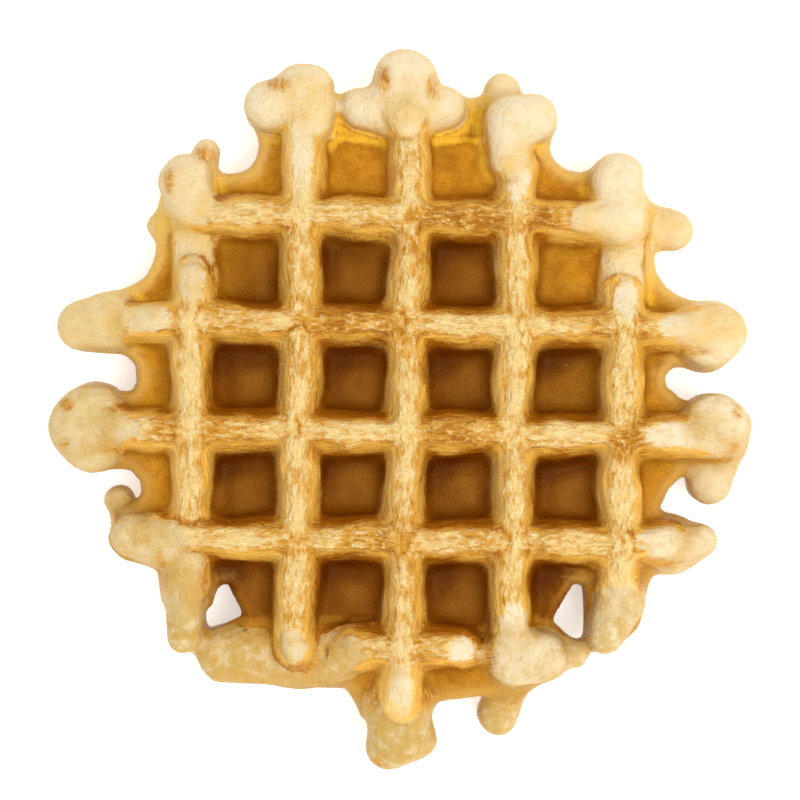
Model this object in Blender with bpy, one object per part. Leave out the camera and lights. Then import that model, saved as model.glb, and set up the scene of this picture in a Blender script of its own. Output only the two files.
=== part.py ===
"""A round waffle, one solid lying flat: a thin web with a deep square grid on both faces
and drips of batter round its rim.

The grid's middle crossing is the drawing point: x and y below are millimetres from it, and z
is measured from the middle of the web. At the end the solid is moved so that the origin is
the middle of its underside.
"""
import math

import bmesh
import bpy
from mathutils import Matrix, Vector

MM = 0.001

# Driving dimensions in millimetres
PITCH = 20.0
HALF_HEIGHT = 12.25
WEB_HALF_THICKNESS = 2.3
CREST_HALF_WIDTH = 2.2
FOOT_HALF_WIDTH = 4.2
CREST_ROUNDING = 1.0
DRIP_ROUNDING = 4.2
ROOT_DEPTH = 0.5
ROUNDING_STEPS = 3
END_STEPS = 7

# Surface
REMESH_CELL = 0.75
SMOOTH_ROUNDS = 5
CREST_FLAT = 0.3
FLAT_REACH = 0.06
TRIANGLES = 10800

# Ridges as (grid line, start, end), lines counted in pitches from the middle crossing
TOP_COLUMNS = [(-2, -15.6, 28.5), (-1, -40.5, 61.0), (0, -50.5, 61.0), (1, -36.0, 49.0), (2, -27.5, 26.0)]
TOP_ROWS = [(2, -37.5, 35.0), (1, -51.0, 57.0), (0, -54.0, 57.0), (-1, -45.0, 48.5), (-2, -8.5, 11.0)]
BASE_COLUMNS = [(-2, -26.5, 37.0), (-1, -44.0, 58.0), (0, -56.0, 62.0), (1, -46.0, 56.0), (2, -34.0, 36.0)]
BASE_ROWS = [(2, -39.0, 42.0), (1, -56.0, 56.0), (0, -58.0, 57.0), (-1, -50.0, 51.0), (-2, -30.0, 25.0)]

# Upper stretches that the batter filled less, with the height that they reach
LOW_COLUMNS = [(-2, 26.0, 41.0, 7.0), (2, 24.0, 41.0, 7.5), (-2, -28.0, -18.0, 9.3)]
LOW_ROWS = [(-2, -12.0, -6.0, 8.5)]

# Drips as (middle height, half height, one or two discs (x, y, radius) that it runs between)
DRIPS = [
    # top edge, left to right
    (1.0, 10.0, [(-26.4, 60.2, 5.1), (-21.5, 61.2, 5.0)]),
    (1.5, 10.0, [(-20.6, 63.8, 4.6)]),
    (1.0, 10.0, [(-18.1, 60.0, 4.4), (-17.9, 57.3, 3.9)]),
    (1.0, 10.0, [(-1.2, 65.0, 6.4), (-0.9, 61.2, 5.6)]),
    (4.0, 8.0, [(-0.9, 57.8, 3.0)]),
    (1.0, 9.0, [(-17.3, 65.2, 2.4)]),
    (0.5, 9.5, [(-9.4, 60.0, 4.1), (-4.6, 59.8, 5.0)]),
    (0.5, 9.5, [(6.4, 60.2, 4.2), (2.8, 60.0, 4.9)]),
    (-2.0, 6.0, [(17.1, 64.2, 3.6)]),
    (0.5, 10.0, [(22.7, 58.5, 5.1), (19.5, 57.6, 5.2)]),
    (1.5, 10.0, [(18.6, 57.4, 5.2), (17.5, 50.5, 2.8)]),
    # upper left
    (-3.0, 5.0, [(-38.5, 52.0, 3.0), (-38.8, 49.7, 2.8)]),
    (1.0, 10.0, [(-41.7, 45.8, 5.5), (-40.8, 42.0, 4.9)]),
    (-3.0, 5.0, [(-47.0, 37.8, 2.6), (-44.2, 39.6, 3.0)]),
    # upper right
    (1.0, 10.0, [(38.5, 47.5, 5.3), (39.4, 39.8, 5.1)]),
    (2.0, 10.0, [(38.6, 39.6, 4.2), (33.4, 39.6, 2.8)]),
    (-3.0, 6.0, [(48.2, 38.9, 4.0), (49.5, 38.5, 3.8)]),
    (-4.0, 6.0, [(45.2, 39.1, 4.7), (49.8, 38.0, 3.2)]),
    (-3.0, 7.5, [(42.5, 38.0, 3.6), (40.5, 26.0, 4.0)]),
    # right edge, top to bottom
    (1.0, 10.0, [(56.0, 18.5, 6.2), (57.1, 18.9, 6.0)]),
    (-3.0, 7.0, [(56.5, 15.7, 4.2)]),
    (1.0, 10.0, [(57.4, 2.0, 6.2)]),
    (-1.0, 8.0, [(60.6, 1.6, 4.3), (60.3, -0.1, 4.3)]),
    (-3.0, 7.0, [(57.8, -0.9, 6.1), (57.2, -9.1, 4.4)]),
    (0.0, 8.0, [(50.3, -20.9, 5.1), (55.0, -19.7, 3.6)]),
    # bottom edge, right to left
    (0.0, 9.3, [(37.6, -37.7, 3.9), (40.1, -31.5, 5.0)]),
    (-3.0, 7.0, [(31.9, -41.6, 3.2), (28.3, -41.6, 3.8)]),
    (1.5, 9.5, [(25.8, -41.4, 5.1), (20.6, -41.6, 6.0)]),
    (-5.0, 6.0, [(18.0, -53.5, 4.0), (19.5, -49.0, 3.8)]),
    (-1.5, 8.5, [(-0.8, -51.5, 6.8), (-0.9, -57.3, 5.8)]),
    (-3.0, 7.0, [(3.1, -57.9, 3.6)]),
    (-3.0, 8.0, [(-3.1, -59.9, 3.8)]),
    (0.0, 8.5, [(-11.8, -42.4, 4.0), (-8.0, -40.8, 3.4)]),
    (-3.5, 8.5, [(-33.9, -42.4, 5.3), (-12.9, -42.4, 5.7)]),
    (0.0, 8.5, [(-41.2, -29.5, 4.2), (-40.8, -38.8, 3.7)]),
    # left edge, bottom to top
    (1.0, 9.0, [(-50.9, -19.9, 4.5), (-46.0, -21.2, 4.9)]),
    (-4.0, 4.5, [(-54.0, -13.9, 3.1), (-53.0, -15.6, 2.9)]),
    (-0.5, 9.5, [(-58.5, 2.3, 6.2), (-58.5, -2.8, 6.2)]),
    (-0.5, 9.0, [(-60.7, -0.2, 6.4)]),
    (-0.5, 8.0, [(-60.8, 18.8, 5.1)]),
    (0.0, 8.5, [(-55.6, 19.8, 5.8)]),
]

# Web outline, clockwise: corners (x, y, sag), where the edge to the next corner sags inwards
WEB_CORNERS = [
    (-28.6, 55.3, 0.0), (-20.8, 59.9, 0.0), (-14.5, 62.6, 0.0), (-11.5, 63.2, 0.0),
    (10.3, 62.4, 0.0), (14.2, 63.2, 0.0), (22.3, 60.5, 0.0), (25.7, 54.9, 2.4),
    (33.7, 49.1, 0.0), (43.1, 45.8, 0.0), (45.2, 33.9, 1.5), (52.4, 25.3, 0.0),
    (54.3, 13.0, 0.0), (49.8, 12.6, 0.0), (48.4, 11.0, 0.0), (48.7, 9.0, 0.0),
    (52.4, 6.0, 0.0), (54.0, 4.0, 0.0), (52.2, -7.3, 0.0), (49.4, -10.2, 0.0),
    (47.8, -13.6, 0.0), (48.6, -15.1, 0.0), (52.3, -16.3, 0.0), (47.0, -26.1, 0.0),
    (44.3, -31.0, 0.0), (38.8, -38.6, -0.9), (34.6, -37.2, 0.0), (33.4, -28.4, 0.0),
    (31.7, -28.2, 0.0), (29.2, -32.6, 0.0), (27.9, -35.4, 0.0), (30.5, -38.8, 0.0),
    (29.5, -44.8, 0.0), (23.9, -48.2, 0.0), (13.8, -49.7, 0.0), (7.1, -50.7, 0.0),
    (-7.5, -53.4, 0.0), (-10.8, -48.2, 0.0), (-35.2, -47.0, 0.0), (-37.4, -42.6, 0.0),
    (-35.6, -38.9, 0.0), (-30.4, -37.0, 0.0), (-29.9, -35.2, 0.0), (-33.2, -29.1, 0.0),
    (-35.3, -29.8, 0.0), (-36.2, -33.4, 0.0), (-45.0, -32.4, 0.0), (-46.4, -26.4, 0.0),
    (-53.8, -17.5, 0.0), (-50.3, -13.6, 0.0), (-49.5, -12.2, 0.0), (-49.8, -10.2, 0.0),
    (-51.5, -8.3, 0.0), (-56.8, -7.0, 0.0), (-59.3, 4.0, 0.0), (-54.0, 6.2, 0.0),
    (-51.6, 6.8, 0.0), (-50.7, 8.4, 0.0), (-51.0, 11.4, 0.0), (-53.3, 14.0, 0.0),
    (-57.3, 15.2, 0.0), (-59.0, 17.0, 0.0), (-52.6, 26.2, 1.5), (-47.5, 34.0, 0.0),
    (-46.8, 42.6, 0.0), (-36.4, 48.0, 3.6),
]
SAG_STEPS = 6

# Crust as a surface: colour and roughness
CRUST = ((0.58, 0.36, 0.12, 1.0), 0.55)


def clear_scene():
    for obj in list(bpy.data.objects):
        bpy.data.objects.remove(obj, do_unlink=True)


def add_object(name, mesh, collection):
    obj = bpy.data.objects.new(name, mesh)
    collection.objects.link(obj)
    return obj


def finish_mesh(bm, name):
    bmesh.ops.recalc_face_normals(bm, faces=bm.faces)
    mesh = bpy.data.meshes.new(name)
    bm.to_mesh(mesh)
    bm.free()
    return mesh


def stadium(start, end, half_width):
    """Points round a line, with a half circle at each end."""
    along = math.atan2(end.y - start.y, end.x - start.x)
    points = []
    for middle, first in ((end, along - math.pi / 2), (start, along + math.pi / 2)):
        for step in range(END_STEPS + 1):
            angle = first + math.pi * step / END_STEPS
            points.append(middle + half_width * Vector((math.cos(angle), math.sin(angle))))
    return points


def half_width_at(height):
    """The flanks lean in evenly from the web up to the crest."""
    share = (height - WEB_HALF_THICKNESS) / (HALF_HEIGHT - WEB_HALF_THICKNESS)
    return FOOT_HALF_WIDTH + (CREST_HALF_WIDTH - FOOT_HALF_WIDTH) * share


def ridge_section(top):
    """(height, half width) pairs up one flank, from inside the web to the rounded crest."""
    shoulder = top - CREST_ROUNDING
    pairs = [(-ROOT_DEPTH, FOOT_HALF_WIDTH), (WEB_HALF_THICKNESS, FOOT_HALF_WIDTH)]
    for step in range(ROUNDING_STEPS + 1):
        angle = math.pi / 2 * step / ROUNDING_STEPS
        height = shoulder + CREST_ROUNDING * math.sin(angle)
        inset = CREST_ROUNDING * (1.0 - math.cos(angle))
        pairs.append((height, half_width_at(height) - inset))
    return pairs


def ridge_mesh(start, end, side, top):
    """A tapered bar with round ends, standing up from the web (side 1) or down (side -1)."""
    bm = bmesh.new()
    rings = []
    for height, half_width in ridge_section(top):
        points = stadium(start, end, half_width)
        rings.append([bm.verts.new((p.x * MM, p.y * MM, side * height * MM)) for p in points])
    for lower, upper in zip(rings, rings[1:]):
        bmesh.ops.bridge_loops(bm, edges=loop_edges(bm, lower) + loop_edges(bm, upper))
    bm.faces.new(rings[0])
    bm.faces.new(rings[-1])
    return finish_mesh(bm, "ridge")


def loop_edges(bm, verts):
    edges = []
    for first, second in zip(verts, verts[1:] + verts[:1]):
        edge = bm.edges.get((first, second))
        if edge is None:
            edge = bm.edges.new((first, second))
        edges.append(edge)
    return edges


def drip_mesh(middle, half_height, discs):
    """The skin stretched round balls at the drip's ends, top and bottom."""
    bm = bmesh.new()
    for x, y, radius in discs:
        ball = min(radius, half_height, DRIP_ROUNDING)
        spread = radius - ball
        for side in (-1, 1):
            made = bmesh.ops.create_icosphere(bm, subdivisions=2, radius=ball * MM)
            flat = Vector((1.0 + spread / ball, 1.0 + spread / ball, 1.0))
            bmesh.ops.scale(bm, vec=flat, verts=made["verts"])
            place = Vector((x, y, middle + side * (half_height - ball))) * MM
            bmesh.ops.translate(bm, vec=place, verts=made["verts"])
    bmesh.ops.delete(bm, geom=list(bm.edges), context="EDGES_FACES")
    bmesh.ops.convex_hull(bm, input=bm.verts)
    inside = [vert for vert in bm.verts if not vert.link_faces]
    bmesh.ops.delete(bm, geom=inside, context="VERTS")
    return finish_mesh(bm, "drip")


def sag_share(share):
    """A parabola along an edge: 0 at both ends and 1 in the middle."""
    return 1.0 - (2.0 * share - 1.0) ** 2


def web_outline():
    """The web's edge: straight between corners, or an arc that sags towards the middle."""
    points = []
    following = WEB_CORNERS[1:] + WEB_CORNERS[:1]
    for (x, y, sag), (next_x, next_y, _) in zip(WEB_CORNERS, following):
        first = Vector((x, y))
        run = Vector((next_x, next_y)) - first
        inwards = Vector((run.y, -run.x)).normalized()
        steps = SAG_STEPS if sag else 1
        for step in range(steps):
            share = step / steps
            points.append(first + run * share + inwards * sag * sag_share(share))
    return points


def web_mesh():
    bm = bmesh.new()
    outline = [bm.verts.new((p.x * MM, p.y * MM, -WEB_HALF_THICKNESS * MM)) for p in web_outline()]
    face = bm.faces.new(outline)
    made = bmesh.ops.extrude_face_region(bm, geom=[face])
    raised = [item for item in made["geom"] if isinstance(item, bmesh.types.BMVert)]
    bmesh.ops.translate(bm, vec=(0.0, 0.0, 2.0 * WEB_HALF_THICKNESS * MM), verts=raised)
    bmesh.ops.triangulate(bm, faces=bm.faces)
    return finish_mesh(bm, "web")


def add_ridges(columns, rows, side, top, collection):
    for line, start, end in columns:
        x = line * PITCH
        mesh = ridge_mesh(Vector((x, start)), Vector((x, end)), side, top)
        add_object("column", mesh, collection)
    for line, start, end in rows:
        y = line * PITCH
        mesh = ridge_mesh(Vector((start, y)), Vector((end, y)), side, top)
        add_object("row", mesh, collection)


def evaluated_mesh(obj):
    depsgraph = bpy.context.evaluated_depsgraph_get()
    depsgraph.update()
    return bpy.data.meshes.new_from_object(obj.evaluated_get(depsgraph), depsgraph=depsgraph)


def fused_shape():
    """Web, ridges and drips joined by one Boolean union, then taken out of the scene."""
    pieces = bpy.data.collections.new("batter")
    bpy.context.scene.collection.children.link(pieces)
    add_ridges(TOP_COLUMNS, TOP_ROWS, 1, HALF_HEIGHT, pieces)
    add_ridges(BASE_COLUMNS, BASE_ROWS, -1, HALF_HEIGHT, pieces)
    for line, start, end, top in LOW_COLUMNS:
        add_ridges([(line, start, end)], [], 1, top, pieces)
    for line, start, end, top in LOW_ROWS:
        add_ridges([], [(line, start, end)], 1, top, pieces)
    for middle, half_height, discs in DRIPS:
        add_object("drip", drip_mesh(middle, half_height, discs), pieces)
    web = add_object("web", web_mesh(), bpy.context.scene.collection)
    union = web.modifiers.new("union", "BOOLEAN")
    union.operation = "UNION"
    union.operand_type = "COLLECTION"
    union.collection = pieces
    union.solver = "MANIFOLD"
    mesh = evaluated_mesh(web)
    for obj in list(pieces.objects) + [web]:
        bpy.data.objects.remove(obj, do_unlink=True)
    bpy.data.collections.remove(pieces)
    return mesh


def melt(mesh):
    """Rounds the joints between the shapes, as batter flows together before it sets."""
    obj = add_object("melt", mesh, bpy.context.scene.collection)
    remesh = obj.modifiers.new("cells", "REMESH")
    remesh.mode = "VOXEL"
    remesh.voxel_size = REMESH_CELL * MM
    smooth = obj.modifiers.new("melt", "SMOOTH")
    smooth.factor = 0.5
    smooth.iterations = SMOOTH_ROUNDS
    melted = evaluated_mesh(obj)
    bpy.data.objects.remove(obj, do_unlink=True)
    return melted


def keep_largest_shell(bm):
    """Drops any loose scrap and any closed hollow, which are shells of their own."""
    shells = []
    seen = set()
    for start in bm.verts:
        if start in seen:
            continue
        shell = [start]
        seen.add(start)
        for vert in shell:
            for edge in vert.link_edges:
                other = edge.other_vert(vert)
                if other not in seen:
                    seen.add(other)
                    shell.append(other)
        shells.append(shell)
    largest = max(shells, key=len)
    scraps = [vert for shell in shells if shell is not largest for vert in shell]
    bmesh.ops.delete(bm, geom=scraps, context="VERTS")


def flatten_crests(mesh):
    """Drops scraps, cuts the lowest crests to one plane and gives that plane's height."""
    bm = bmesh.new()
    bm.from_mesh(mesh)
    keep_largest_shell(bm)
    floor = min(vert.co.z for vert in bm.verts) + CREST_FLAT * MM
    for vert in bm.verts:
        vert.co.z = max(vert.co.z, floor)
    bm.to_mesh(mesh)
    bm.free()
    return floor


def thin_out(mesh):
    """Spends the triangles where the surface bends most."""
    obj = add_object("thin", mesh, bpy.context.scene.collection)
    triangles = sum(len(face.vertices) - 2 for face in mesh.polygons)
    fewer = obj.modifiers.new("fewer_faces", "DECIMATE")
    fewer.decimate_type = "COLLAPSE"
    fewer.ratio = TRIANGLES / triangles
    fewer.use_collapse_triangulate = True
    thin = evaluated_mesh(obj)
    bpy.data.objects.remove(obj, do_unlink=True)
    return thin


def settle(mesh, floor):
    """Levels the flat crests exactly and puts the origin under the waffle's middle."""
    verts = mesh.vertices
    for vert in verts:
        if abs(vert.co.z - floor) < FLAT_REACH * MM:
            vert.co.z = floor
    lowest = [min(vert.co[axis] for vert in verts) for axis in range(3)]
    highest = [max(vert.co[axis] for vert in verts) for axis in range(3)]
    middle = Vector([(low + high) / 2 for low, high in zip(lowest, highest)])
    middle.z = floor
    mesh.transform(Matrix.Translation(-middle))


def crust_material():
    colour, roughness = CRUST
    material = bpy.data.materials.new("crust")
    material.use_nodes = True
    shader = material.node_tree.nodes["Principled BSDF"]
    shader.inputs["Base Color"].default_value = colour
    shader.inputs["Roughness"].default_value = roughness
    shader.inputs["Metallic"].default_value = 0.0
    return material


def build_waffle():
    mesh = melt(fused_shape())
    floor = flatten_crests(mesh)
    mesh = thin_out(mesh)
    settle(mesh, floor)
    mesh.name = "waffle"
    mesh.materials.clear()
    mesh.materials.append(crust_material())
    mesh.shade_smooth()
    add_object("waffle", mesh, bpy.context.scene.collection)


clear_scene()
build_waffle()
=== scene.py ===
"""Dresses the waffle: one baked surface, meshed from a field of distances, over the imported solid.

All lengths of the waffle are in millimetres from its middle crossing, with z measured from the
middle of the web, as in the part's own drawing. They become metres when the mesh is made.
"""
import math

import bpy
import numpy as np
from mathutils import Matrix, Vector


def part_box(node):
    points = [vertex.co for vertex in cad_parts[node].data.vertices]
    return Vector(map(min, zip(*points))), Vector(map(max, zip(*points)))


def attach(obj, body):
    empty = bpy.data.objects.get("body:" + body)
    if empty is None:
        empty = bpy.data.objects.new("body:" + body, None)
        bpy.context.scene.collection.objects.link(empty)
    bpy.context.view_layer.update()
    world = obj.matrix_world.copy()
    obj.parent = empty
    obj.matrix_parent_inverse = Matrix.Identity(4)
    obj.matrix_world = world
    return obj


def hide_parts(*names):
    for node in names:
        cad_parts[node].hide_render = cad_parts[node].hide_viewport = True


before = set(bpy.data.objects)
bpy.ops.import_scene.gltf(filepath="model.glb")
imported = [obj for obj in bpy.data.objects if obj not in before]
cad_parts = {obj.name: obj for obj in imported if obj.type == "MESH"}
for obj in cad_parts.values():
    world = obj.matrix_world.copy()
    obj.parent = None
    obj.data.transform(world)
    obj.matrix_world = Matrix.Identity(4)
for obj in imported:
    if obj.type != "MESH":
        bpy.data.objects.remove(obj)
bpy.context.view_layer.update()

import openvdb
from mathutils import Matrix, Vector

MM = 0.001

# The drawing, as in the part's source
PITCH = 20.0
SOLID_MIDDLE = (-1.05, 3.88)
HALF_HEIGHT = 12.0
WEB_HALF_THICKNESS = 2.3
COLUMN_FOOT = 4.6
ROW_FOOT = 4.3
CREST_HALF_WIDTH = 2.1
TOP_COLUMNS = [(-2, -15.6, 28.5), (-1, -40.5, 61.0), (0, -50.5, 61.0), (1, -36.0, 49.0), (2, -27.5, 26.0)]
TOP_ROWS = [(2, -37.5, 35.0), (1, -51.0, 57.0), (0, -54.0, 57.0), (-1, -45.0, 48.5), (-2, -8.5, 11.0)]
BASE_COLUMNS = [(-2, -26.5, 37.0), (-1, -44.0, 58.0), (0, -56.0, 62.0), (1, -46.0, 56.0), (2, -34.0, 36.0)]
BASE_ROWS = [(2, -39.0, 42.0), (1, -56.0, 56.0), (0, -58.0, 57.0), (-1, -50.0, 51.0), (-2, -30.0, 25.0)]
# Stretches that the batter filled less: (line, start, end, height)
LOW_COLUMNS = [(-2, 26.0, 41.0, 7.0), (2, 24.0, 41.0, 7.5), (-2, -28.0, -18.0, 9.3)]
LOW_ROWS = [(-2, -12.0, -6.0, 8.5)]
# Thin raised lips across the floors of the top pockets: (x, y, x, y)
LIPS = [(-18.0, 54.6, -5.0, 54.2), (4.5, 54.2, 15.5, 54.6)]

# Drips as (middle height, half height, one or two discs (x, y, radius) that it runs between)
DRIPS = [
    # top edge, left to right
    (1.0, 10.0, [(-26.4, 60.2, 5.1), (-21.5, 61.2, 5.0)]),
    (1.5, 10.0, [(-20.6, 63.8, 4.6)]),
    (1.0, 10.0, [(-18.1, 60.0, 4.4), (-17.9, 57.3, 3.9)]),
    (1.0, 10.0, [(-1.2, 65.0, 6.4), (-0.9, 61.2, 5.6)]),
    (4.0, 8.0, [(-0.9, 57.8, 3.0)]),
    (1.0, 9.0, [(-17.3, 65.2, 2.4)]),
    (0.5, 9.5, [(-9.4, 60.0, 4.1), (-4.6, 59.8, 5.0)]),
    (0.5, 9.5, [(6.4, 60.2, 4.2), (2.8, 60.0, 4.9)]),
    (-2.0, 6.0, [(17.1, 64.2, 3.6)]),
    (0.5, 10.0, [(22.7, 58.5, 5.1), (19.5, 57.6, 5.2)]),
    (1.5, 10.0, [(18.6, 57.4, 5.2), (17.5, 50.5, 2.8)]),
    # upper left
    (-3.0, 5.0, [(-38.5, 52.0, 3.0), (-38.8, 49.7, 2.8)]),
    (1.0, 10.0, [(-41.7, 45.8, 5.5), (-40.8, 42.0, 4.9)]),
    (-3.0, 5.0, [(-47.0, 37.8, 2.6), (-44.2, 39.6, 3.0)]),
    # upper right
    (1.0, 10.0, [(38.5, 47.5, 5.3), (39.4, 39.8, 5.1)]),
    (2.0, 10.0, [(38.6, 39.6, 4.2), (33.4, 39.6, 2.8)]),
    (-3.0, 6.0, [(48.2, 38.9, 4.0), (49.5, 38.5, 3.8)]),
    (-4.0, 6.0, [(45.2, 39.1, 4.7), (49.8, 38.0, 3.2)]),
    (-3.0, 7.5, [(42.5, 38.0, 3.6), (40.5, 26.0, 4.0)]),
    # right edge, top to bottom
    (1.0, 10.0, [(56.0, 18.5, 6.2), (57.1, 18.9, 6.0)]),
    (-3.0, 7.0, [(56.5, 15.7, 4.2)]),
    (1.0, 10.0, [(57.4, 2.0, 6.2)]),
    (-1.0, 8.0, [(60.6, 1.6, 4.3), (60.3, -0.1, 4.3)]),
    (-3.0, 7.0, [(57.8, -0.9, 6.1), (57.2, -9.1, 4.4)]),
    (0.0, 8.0, [(50.3, -20.9, 5.1), (55.0, -19.7, 3.6)]),
    # bottom edge, right to left
    (0.0, 9.3, [(37.6, -37.7, 3.9), (40.1, -31.5, 5.0)]),
    (-3.0, 7.0, [(31.9, -41.6, 3.2), (28.3, -41.6, 3.8)]),
    (1.5, 9.5, [(25.8, -41.4, 5.1), (20.6, -41.6, 6.0)]),
    (-5.0, 6.0, [(18.0, -53.5, 4.0), (19.5, -49.0, 3.8)]),
    (-1.5, 8.5, [(-0.8, -51.5, 6.8), (-0.9, -57.3, 5.8)]),
    (-3.0, 7.0, [(3.1, -57.9, 3.6)]),
    (-3.0, 8.0, [(-3.1, -59.9, 3.8)]),
    (0.0, 8.5, [(-11.8, -42.4, 4.0), (-8.0, -40.8, 3.4)]),
    (-3.5, 8.5, [(-33.9, -42.4, 5.3), (-12.9, -42.4, 5.7)]),
    (0.0, 8.5, [(-41.2, -29.5, 4.2), (-40.8, -38.8, 3.7)]),
    # left edge, bottom to top
    (1.0, 9.0, [(-50.9, -19.9, 4.5), (-46.0, -21.2, 4.9)]),
    (-4.0, 4.5, [(-54.0, -13.9, 3.1), (-53.0, -15.6, 2.9)]),
    (-0.5, 9.5, [(-58.5, 2.3, 6.2), (-58.5, -2.8, 6.2)]),
    (-0.5, 9.0, [(-60.7, -0.2, 6.4)]),
    (-0.5, 8.0, [(-60.8, 18.8, 5.1)]),
    (0.0, 8.5, [(-55.6, 19.8, 5.8)]),
]

# Web outline, clockwise: corners (x, y, sag), where the edge to the next corner sags inwards
WEB_CORNERS = [
    (-28.6, 55.3, 0.0), (-20.8, 59.9, 0.0), (-14.5, 62.6, 0.0), (-11.5, 63.2, 0.0),
    (10.3, 62.4, 0.0), (14.2, 63.2, 0.0), (22.3, 60.5, 0.0), (25.7, 54.9, 2.4),
    (33.7, 49.1, 0.0), (43.1, 45.8, 0.0), (45.2, 33.9, 1.5), (52.4, 25.3, 0.0),
    (54.3, 13.0, 0.0), (49.8, 12.6, 0.0), (48.4, 11.0, 0.0), (48.7, 9.0, 0.0),
    (52.4, 6.0, 0.0), (54.0, 4.0, 0.0), (52.2, -7.3, 0.0), (49.4, -10.2, 0.0),
    (47.8, -13.6, 0.0), (48.6, -15.1, 0.0), (52.3, -16.3, 0.0), (47.0, -26.1, 0.0),
    (44.3, -31.0, 0.0), (38.8, -38.6, -0.9), (34.6, -37.2, 0.0), (33.4, -28.4, 0.0),
    (31.7, -28.2, 0.0), (29.2, -32.6, 0.0), (27.9, -35.4, 0.0), (30.5, -38.8, 0.0),
    (29.5, -44.8, 0.0), (23.9, -48.2, 0.0), (13.8, -49.7, 0.0), (7.1, -50.7, 0.0),
    (-7.5, -53.4, 0.0), (-10.8, -48.2, 0.0), (-35.2, -47.0, 0.0), (-37.4, -42.6, 0.0),
    (-35.6, -38.9, 0.0), (-30.4, -37.0, 0.0), (-29.9, -35.2, 0.0), (-33.2, -29.1, 0.0),
    (-35.3, -29.8, 0.0), (-36.2, -33.4, 0.0), (-45.0, -32.4, 0.0), (-46.4, -26.4, 0.0),
    (-53.8, -17.5, 0.0), (-50.3, -13.6, 0.0), (-49.5, -12.2, 0.0), (-49.8, -10.2, 0.0),
    (-51.5, -8.3, 0.0), (-56.8, -7.0, 0.0), (-59.3, 4.0, 0.0), (-54.0, 6.2, 0.0),
    (-51.6, 6.8, 0.0), (-50.7, 8.4, 0.0), (-51.0, 11.4, 0.0), (-53.3, 14.0, 0.0),
    (-57.3, 15.2, 0.0), (-59.0, 17.0, 0.0), (-52.6, 26.2, 1.5), (-47.5, 34.0, 0.0),
    (-46.8, 42.6, 0.0), (-36.4, 48.0, 3.6),
]
SAG_STEPS = 6

# Unevenness
DRIP_SHRINK = 0.35
SEGMENT_STEP = 0.55
SEAM_SHIFT = 2.2
RIM_LIP = 0.55
LOW_SIDE_SPREAD = 0.9
SWAY_LONG = 5.3
SWAY_SHORT = 2.9

# Baking: the grid's middle is darkest, out to a rounded square. Single stretches of crest are
# browner or paler than that, as (x, y, reach in x, reach in y, change)
BAKED_MIDDLE_Y = -2.0
BAKED_OUT_TO = (48.0, 33.0)
BAKED_EDGE_NOISE = 3.0
PATCH_WAVER = 1.5
STRETCH_GROWTH = (1.1, 1.6)
STRETCHES = [
    (9.3, 39.9, 8.3, 1.9, 0.55), (25.5, 39.5, 4.5, 1.9, 0.45), (-10.4, 20.2, 8.3, 1.9, 0.55),
    (-44.3, -0.1, 2.6, 2.0, 0.35), (41.2, -1.2, 3.0, 2.2, 0.7), (-4.9, -20.2, 2.5, 2.0, 0.3),
    (29.2, 20.0, 6.5, 1.8, 0.15), (0.3, 15.0, 1.8, 3.5, 0.3), (-20.0, 14.6, 1.8, 3.0, 0.3),
    (-8.6, -40.2, 5.5, 2.2, 0.15), (0.0, -22.5, 1.8, 4.0, 0.3), (0.3, 36.0, 1.8, 3.5, 0.2),
    (-30.7, 39.9, 7.0, 2.0, -0.25), (35.6, 39.5, 4.6, 2.4, -0.5), (10.2, 20.2, 7.4, 1.9, -0.3),
    (-10.4, 0.1, 7.4, 1.9, -0.2), (29.2, -0.1, 7.0, 1.9, -0.2), (-29.7, -20.2, 7.0, 1.9, -0.15),
    (28.3, -20.2, 7.0, 1.9, -0.15), (-40.2, 8.6, 1.9, 7.4, -0.3), (0.3, 6.7, 1.9, 5.2, -0.25),
    (20.0, 8.6, 1.9, 7.0, -0.25), (-20.0, 57.0, 3.0, 13.0, -0.4), (9.8, -0.5, 6.5, 1.9, 0.4),
]
# Stretches of ridge that stayed smooth and pale: (x, y, reach in x, reach in y)
RAW_STRETCHES = [
    (-45.0, -20.6, 6.0, 4.0), (48.5, -20.0, 5.5, 4.0), (-40.0, 28.0, 2.8, 6.0), (40.2, 25.5, 2.4, 4.5),
    (-20.0, 53.0, 2.2, 9.0), (-48.5, 20.3, 6.0, 2.8), (34.0, 39.2, 5.5, 3.4), (19.7, 46.5, 2.4, 4.0),
    (-20.6, -40.5, 3.2, 4.5), (20.6, -37.5, 3.4, 7.0), (-0.3, -47.5, 2.2, 4.5), (11.0, -40.2, 3.2, 2.6),
    (-11.0, -40.6, 4.5, 3.4), (52.0, 20.0, 6.0, 3.5), (50.0, 0.0, 7.0, 2.6), (-53.5, 0.0, 5.0, 3.0),
]
# Seams where one stretch of crest lies over the next: (x, y, radius, from angle, to angle)
SEAMS = [
    (-36.6, 20.2, 2.7, 110.0, 250.0), (38.8, -20.4, 1.8, -85.0, 85.0), (38.8, -20.6, 3.6, -65.0, 65.0),
    (-40.0, -15.4, 2.4, 195.0, 345.0), (40.3, 26.4, 2.5, 20.0, 160.0), (-40.0, 28.2, 2.6, 15.0, 165.0),
    (-2.8, 20.0, 2.4, -70.0, 70.0), (-22.0, 0.2, 2.4, -70.0, 70.0), (0.2, -16.6, 2.3, 200.0, 340.0),
    (17.0, -20.0, 2.4, -70.0, 70.0), (22.6, 20.0, 2.4, 110.0, 250.0), (-20.0, 16.6, 2.4, 20.0, 160.0),
    (-40.8, -38.4, 4.5, -110.0, 40.0), (-20.2, -42.0, 4.0, 190.0, 350.0), (-1.0, 58.2, 4.2, 165.0, 375.0),
    (33.5, 39.6, 4.0, 110.0, 250.0), (17.4, 50.0, 3.6, 180.0, 320.0), (23.2, -42.6, 6.6, 200.0, 330.0),
]
SEAM_WIDTH = 0.45
SEAM_FADE = 25.0
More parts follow.
